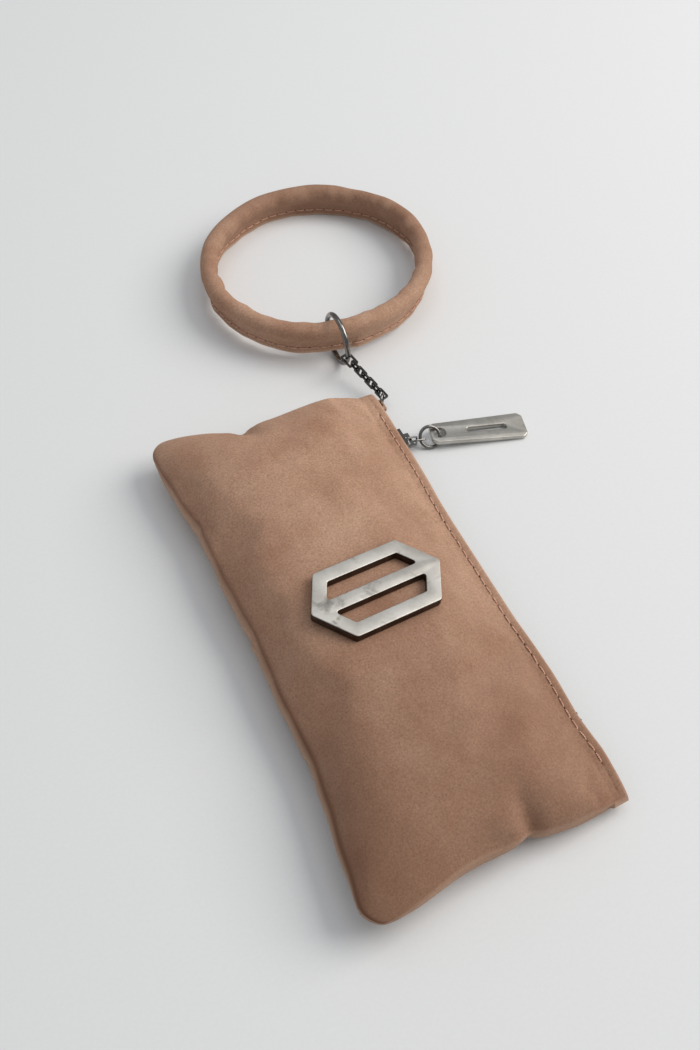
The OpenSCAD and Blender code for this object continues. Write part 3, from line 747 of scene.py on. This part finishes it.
def holeTemplate():
    # a little funnel, rim first
    sides = 10
    turns = [2 * math.pi * i / sides for i in range(sides)]
    wide, long = stitchLook["holeWide"], stitchLook["holeLong"]
    points = [(wide * math.cos(a), long * math.sin(a), 0.03) for a in turns]
    points += [(0.5 * x, 0.5 * y, -0.02) for x, y, _ in points]
    points.append((0, 0, -0.06))
    faces = [[i, (i + 1) % sides, sides + (i + 1) % sides, sides + i] for i in range(sides)]
    faces += [[sides + i, sides + (i + 1) % sides, 2 * sides] for i in range(sides)]
    return np.array(points), faces


def framesAlong(tangents, normals):
    # columns: across, along, out
    tangents = tangents / np.linalg.norm(tangents, axis=1, keepdims=True)
    normals = normals - (normals * tangents).sum(1, keepdims=True) * tangents
    normals = normals / np.linalg.norm(normals, axis=1, keepdims=True)
    return np.stack([np.cross(tangents, normals), tangents, normals], -1)


def onLine(line, y):
    # the point of a line of points that has this y
    return np.stack([np.interp(y, line[:, 1], line[:, k]) for k in range(3)], -1)


wobble = np.random.default_rng(11)
for front, word in ((True, "front"), (False, "back")):
    grid = panelData[front]
    line = grid[:, pouchCut["cols"] + 3]
    side = 1 if front else -1
    ys = stitchRows()
    rim = grid[:, pouchCut["cols"] + 5]
    at = onLine(line, ys)
    at[:, 2] = np.interp(ys, rim[:, 1], rim[:, 2]) - side * stitchLook["bed"]
    out = np.tile([0, 0, side], (len(ys), 1)).astype(float)
    turns = framesAlong(onLine(line, ys + 0.8) - onLine(line, ys - 0.8), out)
    lean = wobble.normal(0, stitchLook["lean"], len(ys))
    turns = np.stack([t @ np.array(Matrix.Rotation(a, 3, "Z")) for t, a in zip(turns, lean)])
    points, faces = copies(stitchTemplate(), list(zip(turns, at)))
    row = makeMesh(word + "EdgeStitches", pouchPlace(points), faces, [thread], "pouch")
    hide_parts(word + "_edge_stitching")
    half = pouchCut["stitchPitch"] / 2
    holeYs = np.append(ys - half, ys[-1] + half)
    tree = BVHTree.FromObject(panelData[word + "PanelSuede"], bpy.context.evaluated_depsgraph_get())
    places = []
    for x, y, z in onLine(line, holeYs):
        # the hole sits where a line dropped on the panel meets the suede
        start = Vector((x, y, 0)) / 1000 + pouchAt + Vector((0, 0, 0.03 * side))
        hit = tree.ray_cast(start, Vector((0, 0, -side)))[0]
        z = hit.z * 1000 if hit else z
        places.append((np.diag([1.0, side, side]), np.array([x, y, z + side * stitchLook["holeLift"]])))
    points, faces = copies(holeTemplate(), places)
    makeMesh(word + "NeedleHoles", pouchPlace(points), faces, [needleHoleShade], "pouch")
print("edge stitching made")


# flat metal plates, cut from an outline with rounded corners and a polished bevel

def roundedOutline(corners, radius, steps=6):
    points = []
    for k in range(len(corners)):
        p, a, b = (np.array(corners[i % len(corners)], float) for i in (k, k - 1, k + 1))
        toA, toB = (a - p) / np.linalg.norm(a - p), (b - p) / np.linalg.norm(b - p)
        half = math.acos(max(-1, min(1, toA @ toB))) / 2
        away = min(radius / math.tan(half), 0.45 * np.linalg.norm(a - p), 0.45 * np.linalg.norm(b - p))
        for n in range(steps + 1):
            t = n / steps
            points.append((1 - t) ** 2 * (p + toA * away) + 2 * t * (1 - t) * p + t ** 2 * (p + toB * away))
    return points


def circleOutline(centre, radius, count=40):
    turns = [2 * math.pi * k / count for k in range(count)]
    return [(centre[0] + radius * math.cos(a), centre[1] + radius * math.sin(a)) for a in turns]


def cutPlate(name, node, outlines, thick, bevel, turn, materials, body):
    curve = bpy.data.curves.new(name, "CURVE")
    curve.dimensions = "2D"
    curve.fill_mode = "BOTH"
    curve.extrude = thick / 2 - bevel
    curve.bevel_depth = bevel
    curve.offset = -bevel
    curve.bevel_resolution = 3
    for outline in outlines:
        spline = curve.splines.new("POLY")
        spline.points.add(len(outline) - 1)
        for point, (x, y) in zip(spline.points, outline):
            point.co = (x, y, 0, 1)
        spline.use_cyclic_u = True
    maker = bpy.data.objects.new(name + "Outline", curve)
    scene.collection.objects.link(maker)
    mesh = bpy.data.meshes.new_from_object(maker.evaluated_get(bpy.context.evaluated_depsgraph_get()))
    bpy.data.objects.remove(maker)
    shape = bmesh.new()
    shape.from_mesh(mesh)
    bmesh.ops.remove_doubles(shape, verts=shape.verts, dist=0.002)
    bmesh.ops.recalc_face_normals(shape, faces=shape.faces)
    points = np.array([v.co for v in shape.verts]) @ np.array(turn).T
    middle = (points.min(0) + points.max(0)) / 2
    walls = [abs(f.normal.z) < 0.3 for f in shape.faces]
    faces = [[v.index for v in f.verts] for f in shape.faces]
    shape.free()
    points = (points - middle) / 1000 + np.array(boxMiddle(node))
    plate = makeMesh(name, points, faces, materials, body)
    plate.data.polygons.foreach_set("material_index", [int(w) if len(materials) > 1 else 0 for w in walls])
    plate.data.set_sharp_from_angle(angle=math.radians(28))
    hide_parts(node)
    return plate


def plaqueOutlines(look):
    # a long hexagon with two windows, a bar between them
    long, wide, rim, point = (look[key] for key in ("long", "wide", "rim", "point"))
    outer = [(-long / 2, 0), (-long / 2 + point, wide / 2), (long / 2 - point, wide / 2),
             (long / 2, 0), (long / 2 - point, -wide / 2), (-long / 2 + point, -wide / 2)]
    innerLong, innerWide, innerPoint = long / 2 - 1.15 * rim, wide / 2 - rim, point * 0.65
    low, high = rim / 2, innerWide
    atLow, atHigh = innerLong - innerPoint * low / innerWide, innerLong - innerPoint
    window = [(-atLow, low), (atLow, low), (atHigh, high), (-atHigh, high)]
    windows = [roundedOutline([(x, up * y) for x, y in window], 1.0) for up in (1, -1)]
    return [roundedOutline(outer, 1.6)] + windows


cutPlate("plaqueFrame", "plaque", plaqueOutlines(plaqueLook), plaqueLook["thick"], plaqueLook["bevel"],
         plaqueTurn, [nickel, nickelWall], "pouch")
for node in ("plaque_posts", "plaque_washers"):
    dressNode(node, nickelWall)
print("plaque made")


# zip: teeth, tape, slider

teethLook = dict(
    pitch=2.4, wide=1.0, gap=0.45, endRoom=0.45,
    bow=0.4, bowAt=-58.0, bowLong=9.0,       # the row stands out a little where the edge does
)


def toothTemplate(depth, reach):
    # a stamped tooth: rounded block with a nose that meets the other row
    shape = bmesh.new()
    bmesh.ops.create_cube(shape, size=1)
    for v in shape.verts:
        nose = 1.0 if v.co.z > 0 else 0.8
        v.co = Vector((v.co.x * depth, v.co.y * teethLook["wide"] * nose, v.co.z * reach))
    bmesh.ops.bevel(shape, geom=shape.edges[:], offset=0.2, segments=2, affect="EDGES")
    points = np.array([v.co for v in shape.verts])
    faces = [[v.index for v in f.verts] for f in shape.faces]
    shape.free()
    return points, faces


for word, side in (("front", 1), ("back", -1)):
    low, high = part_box(word + "_zip_teeth")
    depth = (high.x - low.x) * 1000
    root = (high.z if side > 0 else low.z) * 1000
    look = teethLook
    reach = abs(root - pouchCut["zipHigh"]) - look["gap"]
    count = round(((high.y - low.y) * 1000 - 2 * look["endRoom"]) / look["pitch"]) + 1
    places = []
    for k in range(count):
        y = (low.y - pouchAt.y) * 1000 + look["endRoom"] + k * look["pitch"]
        bowed = look["bow"] * math.exp(-((y - look["bowAt"]) / look["bowLong"]) ** 2)
        x = ((low.x + high.x) / 2 - pouchAt.x) * 1000 + bowed
        places.append((np.diag([1.0, side, side]), np.array([x, y, root - side * reach / 2])))
    points, faces = copies(toothTemplate(depth, reach), places)
    teeth = makeMesh(word + "ZipTeeth", pouchPlace(points), faces, [gunmetal], "pouch")
    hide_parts(word + "_zip_teeth")


# bevel and slim of the zip's small metal pieces, mm
zipMetal = dict(zip_top_stops=(0.15, 0), zip_bottom_stop=(0.2, 0), slider_body=(0.1, 0.05),
                slider_bridge=(0.1, 0.09), pull_link_1=(0.1, 0.1), pull_link_2=(0.1, 0.1))
for word in ("front", "back"):
    dressNode(word + "_zip_tape", zipTape)
for node, (bevel, slim) in zipMetal.items():
    dressNode(node, gunmetal, bevel, slim)
dressNode("corner_tab", suede, 0.3)
for k in range(1, 8):
    dressNode(f"chain_link_{k}", gunmetalDark, 0.13)
print("zip and chain dressed")


# round wire rings with a closed butt joint

def wireRing(name, node, body, turn, wireR, joint, material):
    low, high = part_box(node)
    size = np.array(high - low) * 1000
    major = max(size) / 2 - wireR
    around, sides = 120, 20
    gap = 0.10 / major      # the butt joint, 0.1 mm wide
    points = []
    for j in range(around + 1):
        a = joint + gap / 2 + (2 * math.pi - gap) * j / around
        for i in range(sides):
            b = 2 * math.pi * i / sides
            r = major + wireR * math.cos(b)
            points.append((r * math.cos(a), r * math.sin(a), wireR * math.sin(b)))
    faces = gridFaces(around + 1, sides, wrapCols=True)
    faces += [list(range(sides)), list(range(around * sides, (around + 1) * sides))[::-1]]
    points = np.array(points) @ np.array(turn).T / 1000 + np.array((low + high) / 2)
    ring = makeMesh(name, points, faces, [material], body)
    ring.data.set_sharp_from_angle(angle=math.radians(50))
    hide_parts(node)
    return ring


# the wire's radius in mm, and where round the ring its joint is, in radians
wireRing("strapRing", "o_ring", "o_ring", turnAbout("Y", 90), 1.0, 0.4, gunmetal)
wireRing("pullJumpRing", "jump_ring", "jump_ring", turnAbout("X", 40), 0.6, 2.0, gunmetal)
wireRing("cornerJumpRing", "corner_ring", "corner_ring",
         turnAbout("Z", 53) @ turnAbout("X", 90), 0.45, 1.2, gunmetal)

pullLook = dict(
    long=35.0, nearWide=9.0, farWide=11.4, thick=1.6, bevel=0.32, endIn=3.3, holeR=2.3, mitre=1.6,
    slotAt=0.55, slotLong=0.23, slotHalf=1.1, turn=-13.0, slope=3.94,
)
near, far, mitre = -pullLook["endIn"], pullLook["long"] - pullLook["endIn"], pullLook["mitre"]
nearHalf, farHalf = pullLook["nearWide"] / 2, pullLook["farWide"] / 2
barOutline = [(near, nearHalf - mitre), (near + mitre, nearHalf),
              (far - mitre, farHalf), (far, farHalf - mitre)]
barOutline += [(x, -y) for x, y in barOutline[::-1]]
slotMiddle, slotLong, slotHalf = far * pullLook["slotAt"], far * pullLook["slotLong"], pullLook["slotHalf"]
slotOutline = [(slotMiddle - slotLong, -slotHalf), (slotMiddle + slotLong, -slotHalf),
               (slotMiddle + slotLong, slotHalf), (slotMiddle - slotLong, slotHalf)]
pullOutlines = [roundedOutline(barOutline, 0.8), circleOutline((0, 0), pullLook["holeR"]),
                roundedOutline(slotOutline, 1.05, 8)]
pullTurn = turnAbout("Z", pullLook["turn"]) @ turnAbout("Y", pullLook["slope"])
cutPlate("pullBar", "pull_bar", pullOutlines, pullLook["thick"], pullLook["bevel"],
         pullTurn, [nickelSatin], "pull_bar")
print("rings and pull made")


# wrist strap: suede sewn round a cord, its two edges left as a flat flange

strapJoint = next(j for j in frame["joints"] if j["name"] == "strap_turn")
strapLook = dict(
    radius=42.5, coreR=2.5, tube=3.5, coreHigh=9.3, rings=420, stitches=66,
    oval=0.8, ovalAt=37.4, shift=0.3,        # the hoop isn't quite round
    lap=0.4,                                 # the overlapped end stands out by the ring
    wander=0.2, pucker=0.085, edgeWave=0.16, slack=0.06, ridge=0.16, hem=0.15,
    pitDeep=0.28, pitLong=0.5,
)
strapAxis = Vector(strapJoint["axis"]).normalized()
toRing = boxMiddle("o_ring") - Vector(strapJoint["pos_m"])
strapX = -(toRing - strapAxis * toRing.dot(strapAxis)).normalized()
strapY = strapAxis.cross(strapX)
strapFrame = np.array([strapX, strapY, strapAxis]).T
strapTurn = math.degrees(math.atan2(strapX.y, strapX.x))


def ringNoise(seed, low, high, fall=0.6):
    # smooth noise that meets itself after one turn, with 'low' to 'high' waves
    rng = np.random.default_rng(seed)
    waves = np.arange(low, high + 1)
    sizes = rng.normal(0, 1, len(waves)) / waves ** fall
    starts = rng.uniform(0, 2 * math.pi, len(waves))
    sizes /= math.sqrt((sizes ** 2).sum() / 2)
    return lambda angle: sum(a * np.sin(k * angle + p) for k, a, p in zip(waves, sizes, starts))


wanderR, wanderH = ringNoise(1, 2, 9), ringNoise(2, 3, 12)
puckerIn, puckerOut, dent = ringNoise(3, 14, 46, 0.3), ringNoise(4, 8, 30, 0.5), ringNoise(5, 5, 18)
edgeR, edgeH, slackR = ringNoise(6, 6, 30), ringNoise(7, 5, 26), ringNoise(8, 10, 34, 0.3)

# section, from the inner lower edge over the cord to the outer lower edge: out from the cord's line, up
sectionSide = [(1.12, 0.0), (1.2, 0.35), (1.22, 1.2), (1.2, 1.9), (1.13, 2.3), (1.04, 2.6), (1.13, 2.9),
               (1.2, 3.3), (1.24, 4.1), (1.4, 5.0), (1.85, 5.95), (2.5, 6.85)]
overCord = [(strapLook["tube"] * math.cos(a), strapLook["coreHigh"] + strapLook["tube"] * math.sin(a))
            for a in np.radians(np.linspace(-33, 213, 27))[::-1]]
section = np.array([(-r, h) for r, h in sectionSide] + overCord + sectionSide[::-1])
grooveIn, grooveOut = 5, len(section) - 6


def strapPoints(angle, cut):
    # angle in radians round the strap's axis, cut an array of (out, up) in mm
    look = strapLook
    out, up = cut[..., 0], cut[..., 1]
    angle = np.asarray(angle)[..., None] if np.ndim(angle) and cut.ndim == 2 else angle
    radius = look["radius"] + look["oval"] * np.cos(2 * (angle + math.radians(strapTurn - look["ovalAt"])))
    radius = radius + look["shift"] * np.sin(angle + math.radians(strapTurn))
    high = clamp01((up - 4.5) / 4)          # 1 on the cord, 0 on the flange
    inner = clamp01(-out / look["tube"])
    outer = clamp01(out / look["tube"])
    inside, outside = puckerIn(angle) * inner ** 2 * 0.9, puckerOut(angle) * outer * 0.25
    swell = 1 + high * look["pucker"] * (inside + outside + 0.3 * dent(angle) * (0.4 + inner))
    drop = 1 - high
    # by the ring the flange's overlapped end stands out a little
    fromRing = np.degrees(angle % (2 * math.pi)) - 180
    lap = look["lap"] * smoothStep((fromRing - 9) / 1.2) * (1 - smoothStep((fromRing - 34) / 22))
    edge = look["edgeWave"] * edgeR(angle) + look["slack"] * slackR(angle)
    r = radius + out * swell + look["wander"] * wanderR(angle) + drop * edge + lap * drop
    ridge = look["ridge"] * wanderH(angle) * high
    hem = look["hem"] * edgeH(angle) * clamp01(1 - up / 3)
    h = look["coreHigh"] + (up - look["coreHigh"]) * (1 + (swell - 1) * high) + ridge + hem
    h = np.maximum(h, 0.0)
    return np.stack([r * np.cos(angle), r * np.sin(angle), h + 0 * r], -1)


def outwardAt(angles):
    return np.stack([np.cos(angles), np.sin(angles), 0 * angles], -1)


def strapPlace(points):
    return points / 1000 @ strapFrame.T + np.array(strapJoint["pos_m"])


angles = np.linspace(0, 2 * math.pi, strapLook["rings"], endpoint=False)
cover = strapPoints(angles, section)
# needle dimples in both grooves
holeAngles = (np.arange(strapLook["stitches"]) + 0.5) * 2 * math.pi / strapLook["stitches"]
between = (angles[:, None] - holeAngles[None, :] + math.pi) % (2 * math.pi) - math.pi
away = np.abs(between).min(1) * strapLook["radius"]
pit = strapLook["pitDeep"] * np.exp(-(away / strapLook["pitLong"]) ** 2)
for index, sign in ((grooveIn, 1), (grooveOut, -1)):
    cover[:, index] += sign * pit[:, None] * outwardAt(angles)
coverFaces = gridFaces(len(angles), len(section), wrapRows=True)
strapCover = makeMesh("strapCoverSuede", strapPlace(cover), coverFaces, [suede], "strap")
rub = np.zeros(cover.shape[:2])
rub[:, :2] = rub[:, -2:] = 0.7
rub[:, 20:31] += 0.10 * clamp01(puckerIn(angles))[:, None]
setAttribute(strapCover, "rub", rub)
# painted shade on the strap's far side, where less light falls
farSideShade = 0.5 + 0.5 * np.cos(angles + math.radians(strapTurn - 60))
setAttribute(strapCover, "painted_shade", 0.4 * smoothStep(farSideShade)[:, None] + 0 * rub)
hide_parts("strap_cover")

# cord inside the cover
coreTurn = np.linspace(0, 2 * math.pi, 14, endpoint=False)
coreR, coreHigh = strapLook["coreR"], strapLook["coreHigh"]
coreCut = np.stack([coreR * np.cos(coreTurn), coreHigh + coreR * np.sin(coreTurn)], -1)
cordFaces = gridFaces(len(angles), len(coreCut), wrapRows=True, wrapCols=True, flip=True)
cordPoints = strapPlace(strapPoints(angles, coreCut))
cord = makeMesh("strapCord", cordPoints, cordFaces, [cordCotton], "strap")
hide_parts("strap_core")

# the two cut edges under the flange, with the split between them
edgeHalf = [(-1.12, 0.0), (-1.05, -0.10), (-0.6, -0.14), (-0.12, -0.04)]
edgeCut = np.array(edgeHalf + [(0.0, 0.5)] + [(-x, z) for x, z in edgeHalf[::-1]])
edge = strapPoints(angles, edgeCut * [1, 0])
edge[..., 2] += edgeCut[None, :, 1] + 0.14 * (np.abs(edgeCut[None, :, 0]) < 1.1)
edgeFaces = gridFaces(len(angles), len(edgeCut), wrapRows=True, flip=True)
makeMesh("strapCutEdges", strapPlace(edge), edgeFaces, [cutEdge], "strap")

stitchAngles = np.arange(strapLook["stitches"]) * 2 * math.pi / strapLook["stitches"]
places, holes = [], []
for index, sign in ((grooveIn, -1), (grooveOut, 1)):
    cut = section[index][None]
    at = strapPoints(stitchAngles, cut)[:, 0]
    ahead, behind = strapPoints(stitchAngles + 0.02, cut)[:, 0], strapPoints(stitchAngles - 0.02, cut)[:, 0]
    out = sign * outwardAt(stitchAngles)
    turns = framesAlong(ahead - behind, out)
    places += list(zip(turns, at + stitchLook["strapBed"] * out))
    at = strapPoints(holeAngles, cut)[:, 0]
    out = sign * outwardAt(holeAngles)
    tangent = sign * np.stack([-np.sin(holeAngles), np.cos(holeAngles), 0 * holeAngles], -1)
    holes += list(zip(framesAlong(tangent, out), at - stitchLook["strapBed"] * out))
points, faces = copies(stitchTemplate(), places)
strapStitches = makeMesh("strapStitches", strapPlace(points), faces, [thread], "strap")
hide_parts("strap_stitching")
points, faces = copies(holeTemplate(), holes)
makeMesh("strapNeedleHoles", strapPlace(points), faces, [needleHoleShade], "strap")
print("wrist strap made")
